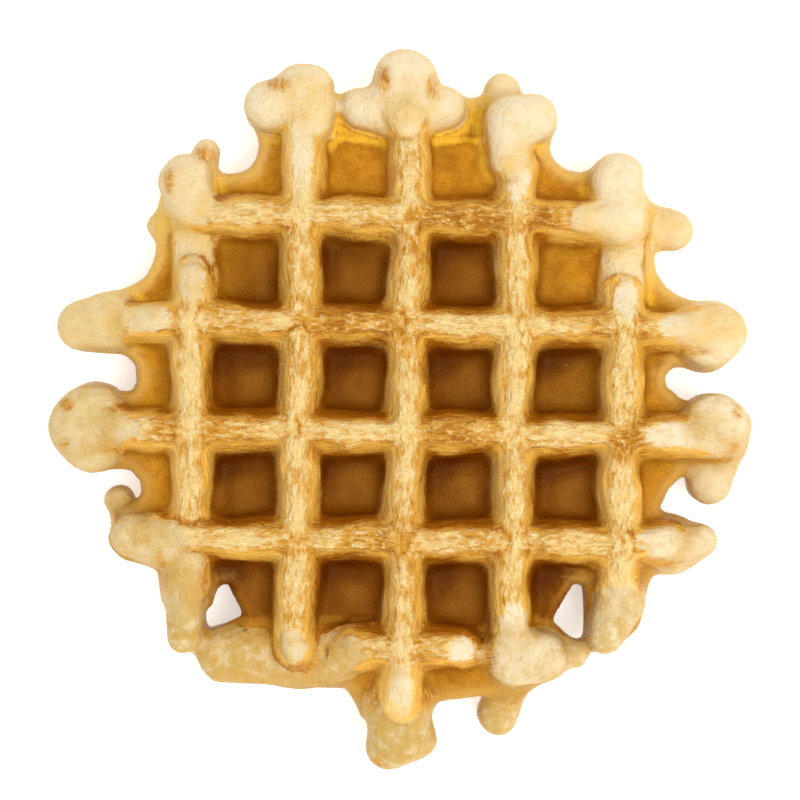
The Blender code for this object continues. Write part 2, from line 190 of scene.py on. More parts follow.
# Pockets with a paler floor: (x, y, reach, change)
PALE_POCKETS = [(29.5, 29.5, 7.0, 0.75), (29.5, 9.0, 6.0, 0.25), (-29.5, 49.0, 9.0, 0.5)]
# The painted reflection, a lighter greyish patch off each pocket's middle, and the web's two gaps and one
# pale drip low down:
# (x, y, reach in x, reach in y)
REFLECTION_PATCH = (1.3, -1.2, 4.2, 4.0)
GAPS = [(-32.0, -34.0, 8.0, 9.0), (30.5, -35.0, 8.0, 9.0)]
PALE_SOUTH_DRIP = (23.0, -41.0, 9.0, 8.0)
# Browned spots on the drips: (x, y, reach in x, reach in y)
BROWN_SPOTS = [
    (-24.8, 63.8, 2.4, 1.5), (-5.0, 65.0, 1.5, 2.6), (3.7, 63.6, 1.1, 2.4), (-38.6, 51.2, 2.2, 1.8),
    (-44.6, 45.6, 1.1, 2.2), (-63.0, 4.0, 1.4, 1.2), (-63.4, -3.2, 1.1, 1.1), (61.2, 4.6, 1.1, 1.4),
    (60.8, -2.2, 1.0, 1.2), (-53.9, -17.0, 1.2, 1.2), (-2.2, -52.8, 1.9, 0.9), (-4.4, -62.0, 1.6, 0.8),
    # flaky brown streaks along the sides of the arms
    (-5.4, -48.0, 1.5, 4.0), (4.6, -48.5, 1.5, 4.0), (-45.2, -26.0, 0.9, 3.6), (-36.6, -27.5, 1.3, 5.4),
    (-49.0, -4.2, 7.0, 1.1), (-49.5, 3.4, 6.0, 1.0), (-47.0, 16.6, 5.0, 1.1), (49.0, -4.4, 5.0, 1.0),
    (48.0, 3.6, 4.5, 1.0), (50.0, 15.6, 6.0, 1.0), (47.5, -23.8, 4.5, 1.0), (-17.6, -44.4, 1.1, 2.4),
    (-24.0, -38.5, 0.9, 4.0), (16.0, -41.0, 1.0, 4.5), (-13.0, -36.8, 3.0, 0.9), (30.5, 36.6, 4.5, 0.9),
]
# Small pits in the upper face: (x, y, reach in x, reach in y, depth)
PITS = [
    (-0.1, 39.7, 1.4, 1.3, 0.5), (-14.5, -41.2, 0.5, 1.3, 0.9), (4.8, 3.6, 1.2, 1.1, 1.0),
]

# How far colours change over the waffle, in millimetres of y, and where the batter is tan
RIPE_SPAN = (22.0, -4.0)
SOUTH_SPAN = (-24.0, -42.0)
TAN_MIDDLE = (-64.0, -62.0)
TAN_REACH = (64.0, 110.0)

# How strongly each cause makes a ridge's flanks golden or brown, and its crest browner or paler. The four
# facing terms are painted light and shade by the way a flank faces, and the crests' golden edges are partly
# painted shade
SIDEWAYS_FLANK_LIGHT = 0.74
RIGHT_FLANK_SHADE = 0.28
ROW_FLANK_LIGHT = 0.18
UPPER_FLANK_SHADE = 0.19
RIM_FLANK_GOLD = 0.3
FLANK_RISE = 0.85
FLANK_MIDDLE = 0.55
FLANK_NOISE = 0.35
CREST_TONE = 0.38
ROW_TONE = 0.08
EDGE_TONE = 0.26
RIM_PALENESS = 0.4
SEAM_TONE = 0.25
RAW_RIDGE = 0.9

# Field and mesh
CELL = 0.62
REACH = 3.0
RIDGE_MARGIN = 1.0
ABOVE_CREST = 0.8
BELOW_MIDDLE = 0.5
FIELD_LOW = (-69.0, -66.0, -13.6)
FIELD_HIGH = (67.0, 74.0, 13.6)
TRIANGLES = 190000
# Masks of what lies low, used for painted shade in hollows and wrinkles: (name, rounds of smoothing, depth)
HOLLOWS = [("wrinkle_shade", 8, 0.25), ("hollow_shade", 40, 1.2)]
# The underside is cut flat this far above the drawing's lowest level
CUT_FLAT = 0.15

# How the photograph was taken: straight down, from this far above the crests
PHOTO_MM_ACROSS = 147.3
CAMERA_ABOVE_CRESTS = 562.0
CAMERA_X, CAMERA_Y = -1.28, 5.78
CAMERA_ROLL = math.radians(0.85)

# Colours of the crust as linear red, green and blue
GOLD_FLOOR = (0.58, 0.27, 0.015, 1.0)
BROWN_FLOOR = (0.17, 0.045, 0.0005, 1.0)
# painted shade for the pockets' upper left
SHADED_FLOOR = (0.08, 0.012, 0.0, 1.0)
# painted reflection on the pocket floors
REFLECTION_FLOOR = (0.26, 0.095, 0.007, 1.0)
BROWN_FLANK = (0.36, 0.115, 0.003, 1.0)
GOLD_FLANK = (0.72, 0.39, 0.06, 1.0)
PALE_FLANK = (0.80, 0.52, 0.15, 1.0)
CREAM_CREST = (0.75, 0.55, 0.23, 1.0)
GOLD_CREST = (0.60, 0.30, 0.045, 1.0)
BROWN_CREST = (0.38, 0.135, 0.01, 1.0)
PAINTED_GLINT = (0.85, 0.74, 0.48, 1.0)
PALE_BATTER = (0.72, 0.61, 0.41, 1.0)
TAN_BATTER = (0.63, 0.49, 0.25, 1.0)
DUSKY_BATTER = (0.51, 0.37, 0.14, 1.0)
DEEP_BATTER = (0.66, 0.43, 0.12, 1.0)
RIPE_BATTER = (0.52, 0.31, 0.07, 1.0)
TAN_EDGE = (0.50, 0.28, 0.06, 1.0)
DUSKY_EDGE = (0.38, 0.23, 0.08, 1.0)
# painted warm shade for creases and hollows
GOLD_CREASE_SHADE = (0.92, 0.57, 0.05, 1.0)
BROWN_CREASE_SHADE = (0.48, 0.22, 0.02, 1.0)
GLOSS_TINT = (1.0, 0.72, 0.25, 1.0)

# Sizes of the crust's noises in millimetres, then its shine, translucency and relief
STREAK = 0.7
FOLD = 0.8
MOTTLE = 2.2
LUMP = 4.5
SPECKLE = 0.4
ROUGHNESS = (0.28, 0.6)
GLOSS = 0.13
TRANSLUCENCY = 0.4
TRANSLUCENT_RADIUS = (1.0, 0.7, 0.25)
TRANSLUCENT_DEPTH = 0.0018
BUMP_STRENGTH = 0.9
BUMP_DEPTH = 0.0006

# The white floor and the light, in metres and watts
WHITE = (1.0, 1.0, 1.0, 1.0)
FLOOR_HALF_SIDE = 3.0
FLOOR_COLOUR = (0.93, 0.93, 0.93, 1.0)
FLOOR_GLOW = 0.45
SKY_STRENGTH = 0.85
KEY_PLACE = (0.3, -0.15, 0.9)
KEY_SIZE = 0.6
KEY_WATTS = 6.5


def smooth_min(a, b, blend):
    near = np.maximum(blend - np.abs(a - b), 0.0) / blend
    return np.minimum(a, b) - near * near * blend / 4.0


def smooth_max(a, b, blend):
    return -smooth_min(-a, -b, blend)


def smooth_step(share):
    return share * share * (3.0 - 2.0 * share)


def ease(low, high, value):
    return smooth_step(np.clip((value - low) / (high - low), 0.0, 1.0))


def sway(along, seed):
    """A slow uneven wave between about -1 and 1 along a ridge."""
    long_wave = np.sin(along / SWAY_LONG + 2.4 * seed)
    short_wave = np.sin(along / SWAY_SHORT + 5.1 * seed)
    return 0.6 * long_wave + 0.4 * short_wave


def lattice_noise(x, y, z, size, seed):
    """Smooth noise between -1 and 1 with lumps of about the given size in millimetres."""
    period = 32
    values = np.random.default_rng(seed).uniform(-1.0, 1.0, (period,) * 3).astype(np.float32)
    cells, shares = [], []
    for coordinate in (x, y, z):
        scaled = coordinate / size
        cell = np.floor(scaled).astype(np.int32)
        share = scaled - cell
        cells.append(cell)
        shares.append(smooth_step(share))
    total = 0.0
    for corner in range(8):
        weight = 1.0
        index = []
        for axis in range(3):
            step = corner >> axis & 1
            weight = weight * (shares[axis] if step else 1.0 - shares[axis])
            index.append((cells[axis] + step) % period)
        total = total + weight * values[tuple(index)]
    return total


def height_share(up):
    """0 on the web and 1 at the level of the crests."""
    return np.clip((up - WEB_HALF_THICKNESS) / (HALF_HEIGHT - WEB_HALF_THICKNESS), 0.0, 1.0)


class Ridge:
    """A tapered bar along a grid line, on the upper (side 1) or the lower face (side -1)."""

    blend = 1.9
    edge_blend = 1.8
    wander = 0.35
    swell = 0.3
    pinch = 0.25
    rise = 0.2
    row_drop = 0.25
    end_droop = 1.6
    droop_span = (5.0, -3.0)
    crest_curve = 0.08
    seam_curve = 0.12
    seam_half_width = 0.5
    wall_lean = 0.97

    def __init__(self, line, start, end, side, is_row, height=HALF_HEIGHT):
        self.across_at = line * PITCH
        self.start, self.end, self.side, self.is_row = start, end, side, is_row
        self.height = height
        self.foot = ROW_FOOT if is_row else COLUMN_FOOT
        self.seed = line + 7.3 * is_row + 3.1 * side
        draw = np.random.default_rng(int(100 + 10 * self.seed))
        self.steps = draw.uniform(0.0, SEGMENT_STEP, 9)
        self.seams = draw.uniform(-SEAM_SHIFT, SEAM_SHIFT, 9)

    def reach(self):
        wide = self.foot + RIDGE_MARGIN
        heights = (-BELOW_MIDDLE, HALF_HEIGHT + ABOVE_CREST)
        low, high = heights if self.side > 0 else (-heights[1], -heights[0])
        across = (self.across_at - wide, self.across_at + wide)
        along = (self.start - wide, self.end + wide)
        x, y = (along, across) if self.is_row else (across, along)
        return (x[0], y[0], low), (x[1], y[1], high)

    def segment_drop(self, along, across):
        """Each stretch between crossings stands a little lower or higher, with a rounded seam."""
        drop = 0.0
        for crossing in range(-3, 4):
            seam = crossing * PITCH + self.seams[crossing + 4] + self.seam_curve * across * across
            change = self.steps[crossing + 4] - self.steps[crossing + 3]
            drop = drop + change * ease(-self.seam_half_width, self.seam_half_width, along - seam)
        return drop + self.steps[0]

    def distance(self, x, y, z):
        along, across = (x, y) if self.is_row else (y, x)
        across = across - self.across_at - self.wander * sway(along, self.seed)
        beyond = np.maximum(np.maximum(self.start - along, along - self.end), 0.0)
        from_line = np.hypot(across, beyond)
        # crossings are pinched and a little lower, and ends droop
        crossing = np.cos(along * 2.0 * math.pi / PITCH)
        inwards = np.minimum(along - self.start, self.end - along)
        height = self.height + self.rise * (sway(along * 1.3, self.seed + 2.0) - crossing - 1.0)
        height = height - self.segment_drop(along, across)
        height = height - self.end_droop * ease(*self.droop_span, inwards)
        height = np.minimum(height - self.row_drop * self.is_row, HALF_HEIGHT)
        up = self.side * z
        share = height_share(up)
        foot = self.foot + LOW_SIDE_SPREAD * self.is_row * ease(0.5, -0.5, across)
        half_width = foot + (CREST_HALF_WIDTH - foot) * share
        half_width = half_width + self.swell * sway(along * 1.7, self.seed + 5.0)
        half_width = half_width - self.pinch * crossing * share
        wall = (from_line - half_width) * self.wall_lean
        cap = up - height + self.crest_curve * np.square(np.minimum(from_line, 3.0))
        return np.maximum(smooth_max(wall, cap, self.edge_blend), -up - BELOW_MIDDLE)


class Drip:
    """A soft column of batter between one or two discs, rounded top and bottom."""

    blend = 2.3
    rounding = 4.2

    def __init__(self, middle, half_height, discs):
        self.middle, self.half_height = middle, half_height
        self.first, self.last = discs[0], discs[-1]

    def reach(self):
        radius = max(self.first[2], self.last[2])
        low = [min(self.first[axis], self.last[axis]) - radius for axis in (0, 1)]
        high = [max(self.first[axis], self.last[axis]) + radius for axis in (0, 1)]
        low.append(self.middle - self.half_height)
        high.append(self.middle + self.half_height)
        return low, high

    def distance(self, x, y, z):
        run_x, run_y = self.last[0] - self.first[0], self.last[1] - self.first[1]
        length = run_x * run_x + run_y * run_y
        dx, dy = x - self.first[0], y - self.first[1]
        share = np.clip((dx * run_x + dy * run_y) / length, 0.0, 1.0) if length else 0.0
        radius = self.first[2] + (self.last[2] - self.first[2]) * share
        from_axis = np.hypot(dx - share * run_x, dy - share * run_y)
        ball = np.minimum(radius, min(self.half_height, self.rounding))
        sideways = np.maximum(from_axis - (radius - ball), 0.0)
        upwards = np.maximum(np.abs(z - self.middle) - (self.half_height - ball), 0.0)
        return np.hypot(sideways, upwards) - ball + DRIP_SHRINK


def sag_share(share):
    """0 at both ends of a stretch and 1 halfway along it."""
    return 1.0 - (2.0 * share - 1.0) ** 2


def web_outline():
    """The web's edge: straight between corners, or an arc that sags towards the middle."""
    points = []
    following = WEB_CORNERS[1:] + WEB_CORNERS[:1]
    for (x, y, sag), (next_x, next_y, _) in zip(WEB_CORNERS, following):
        run_x, run_y = next_x - x, next_y - y
        length = math.hypot(run_x, run_y)
        steps = SAG_STEPS if sag else 1
        for step in range(steps):
            share = step / steps
            inwards = sag * sag_share(share) / length
            points.append((x + run_x * share + run_y * inwards, y + run_y * share - run_x * inwards))
    return points


def outline_distance(x, y):
    """Signed distance in the plane to the web's edge, negative inside."""
    points = web_outline()
    nearest = np.full(np.broadcast(x, y).shape, 1e9, np.float32)
    inside = np.zeros(nearest.shape, bool)
    for (ax, ay), (bx, by) in zip(points, points[1:] + points[:1]):
        ux, uy = bx - ax, by - ay
        share = np.clip(((x - ax) * ux + (y - ay) * uy) / (ux * ux + uy * uy), 0.0, 1.0)
        nearest = np.minimum(nearest, np.hypot(x - ax - share * ux, y - ay - share * uy))
        if ay != by:
            crosses = ((ay > y) != (by > y)) & (x < ax + (y - ay) * ux / uy)
            inside ^= crosses
    return np.where(inside, -nearest, nearest)


class Lip:
    """A thin raised line of batter that lies on the web."""

    blend = 1.0
    radius = 0.7
    middle = WEB_HALF_THICKNESS + 0.4

    def __init__(self, x0, y0, x1, y1):
        self.first, self.last = (x0, y0), (x1, y1)

    def reach(self):
        low = [min(pair) - self.radius for pair in zip(self.first, self.last)]
        high = [max(pair) + self.radius for pair in zip(self.first, self.last)]
        return low + [self.middle - self.radius], high + [self.middle + self.radius]

    def distance(self, x, y, z):
        run_x, run_y = self.last[0] - self.first[0], self.last[1] - self.first[1]
        dx, dy = x - self.first[0], y - self.first[1]
        share = np.clip((dx * run_x + dy * run_y) / (run_x * run_x + run_y * run_y), 0.0, 1.0)
        across = np.hypot(dx - share * run_x, dy - share * run_y)
        return np.hypot(across, z - self.middle) - self.radius


class Web:
    """The thin sheet of batter between the ridges, with a rounded edge and a raised lip along it."""

    rounding = 1.6
    swell = 0.25
    lumps = 0.2
    lip_inwards = 1.3
    lip_half_width = 0.9

    def distance_from_outline(self, outline, x, y, z):
        swell = self.swell * np.cos(x * math.pi / PITCH * 2) * np.cos(y * math.pi / PITCH * 2)
        thickness = WEB_HALF_THICKNESS + swell + self.lumps * lattice_noise(x, y, z * 0.0, 9.0, 3)
        from_lip = (outline + self.lip_inwards) / self.lip_half_width
        thickness = thickness + RIM_LIP * np.exp(-np.square(from_lip))
        edge = outline + self.rounding
        sheet = np.abs(z) - thickness + self.rounding
        outside = np.hypot(np.maximum(edge, 0.0), np.maximum(sheet, 0.0))
        return outside + np.minimum(np.maximum(edge, sheet), 0.0) - self.rounding

    def distance(self, x, y, z):
        return self.distance_from_outline(outline_distance(x, y), x, y, z)


def make_shapes():
    ridges = []
    for side, columns, rows in ((1, TOP_COLUMNS, TOP_ROWS), (-1, BASE_COLUMNS, BASE_ROWS)):
        ridges += [Ridge(*column, side, False) for column in columns]
        ridges += [Ridge(*row, side, True) for row in rows]
    for is_row, stretches in ((False, LOW_COLUMNS), (True, LOW_ROWS)):
        ridges += [Ridge(line, start, end, 1, is_row, height) for line, start, end, height in stretches]
    return Web(), ridges, [Drip(*drip) for drip in DRIPS], [Lip(*lip) for lip in LIPS]


def fill_field(web, shapes):
    """Smooth union of every shape on a regular grid of cells."""
    axes = [np.arange(low, high, CELL, dtype=np.float32) for low, high in zip(FIELD_LOW, FIELD_HIGH)]
    x, y, z = np.meshgrid(*axes, indexing="ij", sparse=True)
    outline = outline_distance(x[:, :, 0], y[:, :, 0])[:, :, None]
    field = web.distance_from_outline(outline, x, y, z).astype(np.float32)
    for shape in shapes:
        low, high = shape.reach()
        window = []
        for axis, start, end in zip(axes, low, high):
            first = int(np.searchsorted(axis, start - REACH))
            last = int(np.searchsorted(axis, end + REACH))
            window.append(slice(first, last))
        part = tuple(window)
        local = np.meshgrid(*[axis[cut] for axis, cut in zip(axes, window)], indexing="ij", sparse=True)
        field[part] = smooth_min(field[part], shape.distance(*local), shape.blend)
    return axes, field


def mesh_field(axes, field):
    """Quads round the field's zero surface, as arrays of points in millimetres and corners."""
    grid = openvdb.FloatGrid(REACH)
    grid.copyFromArray(np.clip(field, -REACH, REACH))
    points, quads = grid.convertToQuads(isovalue=0.0)
    low = np.array([axis[0] for axis in axes])
    return points * CELL + low, quads


def largest_shell(points, quads):
    """Keeps the biggest connected surface and drops scraps and closed hollows."""
    label = np.arange(len(points))
    while True:
        lowest = label[quads].min(axis=1)
        new = label.copy()
        for corner in range(4):
            np.minimum.at(new, quads[:, corner], lowest)
        new = new[new]
        if np.array_equal(new, label):
            break
        label = new
    names, counts = np.unique(label, return_counts=True)
    keep = label == names[counts.argmax()]
    order = np.cumsum(keep) - 1
    return points[keep], order[quads[keep[quads[:, 0]]]]


def lowest_distance(shapes, points):
    x, y, z = points.T
    result = np.full(len(points), 99.0, np.float32)
    for shape in shapes:
        result = np.minimum(result, shape.distance(x, y, z))
    return result


def spot(x, y, at_x, at_y, reach_x, reach_y):
    return np.exp(-np.power(np.square((x - at_x) / reach_x) + np.square((y - at_y) / reach_y), 2.0))


def seam_share(x, y):
    """1 along the middle of a seam, 0 away from it."""
    share = np.zeros(np.shape(x))
    for at_x, at_y, radius, start, end in SEAMS:
        angle = np.degrees(np.arctan2(y - at_y, x - at_x)) % 360.0
        turned = (angle - start) % 360.0
        reach = ease(0.0, SEAM_FADE, turned) * ease(0.0, SEAM_FADE, (end - start) - turned)
        off_line = (np.hypot(x - at_x, y - at_y) - radius) / SEAM_WIDTH
        share = np.maximum(share, reach * np.exp(-np.square(off_line)))
    return share


def to_nearest_line(coordinate):
    """Distance to the nearest grid line."""
    return np.abs(np.mod(coordinate + PITCH / 2.0, PITCH) - PITCH / 2.0)


class Surface:
    """Every point of the surface, with what it belongs to and how it is baked, as shares from 0 to 1."""

    def __init__(self, points, normals, web, ridges, drips):
        self.x, self.y, self.z = points.T
        self.normals = normals
        self.columns = lowest_distance([ridge for ridge in ridges if not ridge.is_row], points)
        self.rows = lowest_distance([ridge for ridge in ridges if ridge.is_row], points)
        self.low = lowest_distance([ridge for ridge in ridges if ridge.height < HALF_HEIGHT], points)
        self.drip = lowest_distance(drips, points)
        self.inside = -outline_distance(self.x, self.y)
        sheet = web.distance_from_outline(-self.inside, self.x, self.y, self.z)
        self.other = np.minimum(np.minimum(self.columns, self.rows), sheet)
        self.level = np.abs(normals[:, 2])
        self.height = height_share(np.abs(self.z))
        self.upper = ease(-1.0, 2.0, self.z)
        self.crest = ease(0.5, 0.85, self.level) * ease(0.25, 0.5, self.height)
        self.row = ease(-0.6, 0.6, self.columns - self.rows)

    def noise(self, size, seed):
        return lattice_noise(self.x, self.y, self.z, size, seed)

    def flat_noise(self, size, seed):
        return lattice_noise(self.x, self.y, self.z * 0.0, size, seed)

    def spot(self, at_x, at_y, reach_x, reach_y):
        return spot(self.x, self.y, at_x, at_y, reach_x, reach_y)

    def raw(self):
        """1 on batter that the iron hardly touched: drips, low ridges and a few smooth stretches."""
        near_drip = ease(3.5, 0.0, self.drip) * (0.1 + 0.9 * self.crest)
        low_top = ease(1.2, 0.1, self.low) * ease(0.2, 0.45, self.height) * self.upper
        raw = np.maximum(ease(-0.8, 1.2, self.other - self.drip), RAW_RIDGE * low_top)
        raw = np.maximum(raw, near_drip * ease(0.1, 0.5, self.height))
        on_top = ease(0.35, 0.65, self.height) * self.upper
        for place in RAW_STRETCHES:
            raw = np.maximum(raw, RAW_RIDGE * self.spot(*place) * on_top)
        return raw

    def bake(self):
        """1 in the grid's dark middle, 0 towards the rim, and less in a few paler pockets."""
        north = np.abs(self.y - BAKED_MIDDLE_Y)
        from_middle = np.power(np.power(np.abs(self.x), 4.0) + np.power(north, 4.0), 0.25)
        bake = ease(*BAKED_OUT_TO, from_middle + BAKED_EDGE_NOISE * self.flat_noise(12.0, 21))
        for at_x, at_y, reach, change in PALE_POCKETS:
            bake = bake - change * self.spot(at_x, at_y, reach, reach) * ease(0.5, 0.0, self.height)
        return bake

    def floor_patches(self):
        """A painted reflection as a lighter greyish patch near each pocket's middle, and painted shade, with
        some browning, darkest at its upper left.
        """
        across = np.mod(self.x, PITCH) - PITCH / 2.0 + PATCH_WAVER * self.flat_noise(4.0, 23)
        up = np.mod(self.y, PITCH) - PITCH / 2.0 + PATCH_WAVER * self.flat_noise(4.0, 24)
        pocket_reflection = spot(across, up, *REFLECTION_PATCH) * (0.75 + 0.5 * self.flat_noise(3.0, 25))
        # painted shade, darkest towards each pocket's upper left, on the floor only
        pocket_shade = ease(-0.5, 4.5, 0.75 * up - 0.4 * across) * ease(0.6, 0.1, self.height)
        return pocket_reflection, pocket_shade

    def flank(self, bake):
        """Flanks are lighter or browner by the way they face, as painted light and shade with some browning:
        the columns' flanks golden and the rows' browner. Each is golden towards the rim and brown at its
        foot.
        """
        nx, ny = self.normals[:, 0], self.normals[:, 1]
        # painted light and shade by the way each flank faces
        flank = SIDEWAYS_FLANK_LIGHT * nx * nx - RIGHT_FLANK_SHADE * nx
        flank = flank + ROW_FLANK_LIGHT * ny * ny - UPPER_FLANK_SHADE * ny
        flank = flank + RIM_FLANK_GOLD * (1.0 - bake)
        flank = flank + FLANK_RISE * (self.height - FLANK_MIDDLE)
        return flank + FLANK_NOISE * self.noise(4.0, 26)

    def tone(self, seam):
        """Crests are golden along their edges, partly painted shade where the rounded crest turns away, and
        cream along the middle and towards the rim.
        """
        across = np.where(self.row > 0.5, to_nearest_line(self.y), to_nearest_line(self.x))
        edge = np.square(np.minimum(across / CREST_HALF_WIDTH, 1.3))
        # golden crest edges: partly painted shade where the rounded crest turns away
        tone = CREST_TONE + ROW_TONE * self.row + EDGE_TONE * edge
        tone = tone + 0.22 * self.noise(5.0, 27) + 0.16 * self.noise(2.2, 28)
        for at_x, at_y, reach_x, reach_y, change in STRETCHES:
            reach = (reach_x * STRETCH_GROWTH[0], reach_y * STRETCH_GROWTH[1])
            tone = tone + change * self.spot(at_x, at_y, *reach)
        return tone - RIM_PALENESS * ease(9.0, 2.0, self.inside) + SEAM_TONE * seam

    def spots(self):
        browned = np.zeros(len(self.x))
        for place in BROWN_SPOTS:
            browned = np.maximum(browned, self.spot(*place))
        return browned * ease(-1.0, 1.0, self.z)

    def tan(self):
        """Batter is tan in the lower left of the photo."""
        from_x, from_y = [np.abs(value - at) for value, at in zip((self.x, self.y), TAN_MIDDLE)]
        side = np.power(from_x / TAN_REACH[0], 2.0) + np.power(from_y / TAN_REACH[1], 2.0)
        return ease(1.5, 0.3, side + 0.25 * self.noise(9.0, 29))

    def gilt_shade(self):
        """Painted warm shade: batter is golden where it turns down and where it meets the rest."""
        turned = ease(0.8, 0.2, self.level)
        meeting = ease(4.0, 0.0, np.abs(self.drip - self.other))
        return 0.7 * turned + 0.7 * meeting

    def south(self):
        """Batter is duller low in the photo, apart from one pale drip."""
        south = ease(*SOUTH_SPAN, self.y) * (0.95 - 0.75 * self.spot(*PALE_SOUTH_DRIP))
        return south * ease(-1.5, 1.0, self.other - self.drip)

    def masks(self):
        raw, bake = self.raw(), self.bake()
        pocket_reflection, pocket_shade = self.floor_patches()
        seam = seam_share(self.x, self.y) * ease(0.5, 0.8, self.height) * self.upper
        gaps = sum(self.spot(*gap) for gap in GAPS)
        rim = ease(4.5, 0.3, self.inside) * ease(0.4, 0.15, self.height) * (1.0 - 0.75 * gaps)
        # painted warm shade, low down, where the drips meet the web and ridges
        crease_shade = ease(4.0, 0.2, np.abs(self.drip - self.other)) * ease(0.5, 0.1, self.height)
        return {
            "drip": raw,
            "row": self.row,
            "height": self.height,
            "crest": self.crest,
            "bake": np.clip(bake, 0.0, 1.0),
            "pocket_reflection": np.clip(pocket_reflection, 0.0, 1.0),
            "pocket_shade": pocket_shade,
            "ripe": ease(*RIPE_SPAN, self.y),
            "flank": np.clip(self.flank(bake), 0.0, 1.0),
            "tone": np.clip(self.tone(seam), 0.0, 1.0),
            "rim": rim,
            "crease_shade": crease_shade * (1.0 - raw),
            "seam": seam,
            "spot": self.spots(),
            "tan": self.tan(),
            "gilt_shade": np.clip(self.gilt_shade(), 0.0, 1.0),
            "south": self.south(),
        }


def hollow_depth(points, normals, quads, rounds):
    """How far each point lies below its smoothed surroundings (above 0) or stands out of them."""
    first = quads.ravel()
    second = np.roll(quads, -1, axis=1).ravel()
    total = len(points)
    count = (np.bincount(first, minlength=total) + np.bincount(second, minlength=total))[:, None]
    smooth = points.astype(np.float64)
    for _ in range(rounds):
        around = np.empty_like(smooth)
        for axis in range(3):
            around[:, axis] = np.bincount(first, smooth[second, axis], total)
            around[:, axis] += np.bincount(second, smooth[first, axis], total)
        smooth = 0.5 * smooth + 0.5 * around / count
    return ((smooth - points) * normals).sum(axis=1)


def fetch_normals(mesh):
    normals = np.empty(len(mesh.vertices) * 3, np.float32)
    mesh.vertex_normals.foreach_get("vector", normals)
    return normals.reshape(-1, 3)


def fetch_points(mesh):
    points = np.empty(len(mesh.vertices) * 3, np.float32)
    mesh.vertices.foreach_get("co", points)
    return points.reshape(-1, 3)


def make_mesh(points, quads):
    mesh = bpy.data.meshes.new("waffle_crust")
    mesh.vertices.add(len(points))
    mesh.vertices.foreach_set("co", points.astype(np.float32).ravel())
    mesh.loops.add(quads.size)
    mesh.loops.foreach_set("vertex_index", quads.astype(np.int32).ravel())
    mesh.polygons.add(len(quads))
    mesh.polygons.foreach_set("loop_start", np.arange(0, quads.size, 4, dtype=np.int32))
    mesh.update(calc_edges=True)
    return mesh


def outward(mesh):
    """Turns the faces over if the mesh is inside out."""
    points = fetch_points(mesh)
    normals = fetch_normals(mesh)
    highest = points[:, 2].argmax()
    if normals[highest, 2] < 0.0:
        mesh.flip_normals()


def roughen(mesh, masks):
    """Moves the surface in and out: lumps on drips, wrinkles on crests, streaks on flanks."""
    points = fetch_points(mesh)
    normals = fetch_normals(mesh)
    x, y, z = points.T
    lumps = 0.35 * lattice_noise(x, y, z, 6.5, 11) + 0.15 * lattice_noise(x, y, z, 3.1, 12)
    along_x = masks["row"]
    long_x = x * (1.0 - 0.65 * along_x)
    long_y = y * (0.35 + 0.65 * along_x)
    wrinkles = 1.0 - 2.2 * np.abs(lattice_noise(long_x, long_y, z, 1.5, 13))
    wrinkles += 0.7 * lattice_noise(long_x, long_y, z * 0.4, 2.6, 14)
    crust = (1.0 - masks["drip"]) * ease(0.15, 0.6, masks["height"])
    edge_lumps = 0.45 * lattice_noise(x, y, z * 0.6, 3.4, 15)
    move = masks["drip"] * lumps + crust * (0.17 * wrinkles + 0.3 * lumps + edge_lumps)
    move += (1.0 - masks["drip"]) * (1.0 - ease(0.15, 0.6, masks["height"])) * 0.08 * wrinkles
    for at_x, at_y, reach_x, reach_y, depth in PITS:
        move -= depth * spot(x, y, at_x, at_y, reach_x, reach_y) * ease(0.3, 0.8, normals[:, 2])
    move -= 0.35 * masks["seam"]
    points = points + normals * move[:, None]
    mesh.vertices.foreach_set("co", points.astype(np.float32).ravel())
    mesh.update()


def add_mask(mesh, name, values):
    attribute = mesh.attributes.new(name, "FLOAT", "POINT")
    attribute.data.foreach_set("value", values.astype(np.float32))


def thin_underside(obj):
    """Takes triangles from the underside first, so that the upper face keeps its detail."""
    mesh = obj.data
    points = fetch_points(mesh)
    group = obj.vertex_groups.new(name="thin")
    weights = 0.1 + 0.9 * ease(2.0, -3.0, points[:, 2])
    for level in (0.1, 0.4, 0.7, 1.0):
        chosen = np.nonzero((weights > level - 0.3) & (weights <= level))[0]
        group.add(chosen.tolist(), level, "REPLACE")
    triangles = sum(len(face.vertices) - 2 for face in mesh.polygons)
    fewer = obj.modifiers.new("fewer_faces", "DECIMATE")
    fewer.ratio = min(1.0, TRIANGLES / triangles)
    fewer.vertex_group = "thin"
    fewer.vertex_group_factor = 10.0
    depsgraph = bpy.context.evaluated_depsgraph_get()
    thin = bpy.data.meshes.new_from_object(obj.evaluated_get(depsgraph), depsgraph=depsgraph)
    obj.modifiers.clear()
    obj.vertex_groups.clear()
    obj.data = thin


def place_over_solid(obj):
    """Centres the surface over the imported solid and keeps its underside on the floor."""
    low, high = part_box("waffle")
    middle = (low + high) / 2.0
    drawing_point = Vector((middle.x - SOLID_MIDDLE[0] * MM, middle.y - SOLID_MIDDLE[1] * MM,
                            low.z + HALF_HEIGHT * MM - CUT_FLAT * MM))
    obj.data.transform(Matrix.Translation(drawing_point) @ Matrix.Scale(MM, 4))
    for vert in obj.data.vertices:
        vert.co.z = max(vert.co.z, low[2])
    return drawing_point


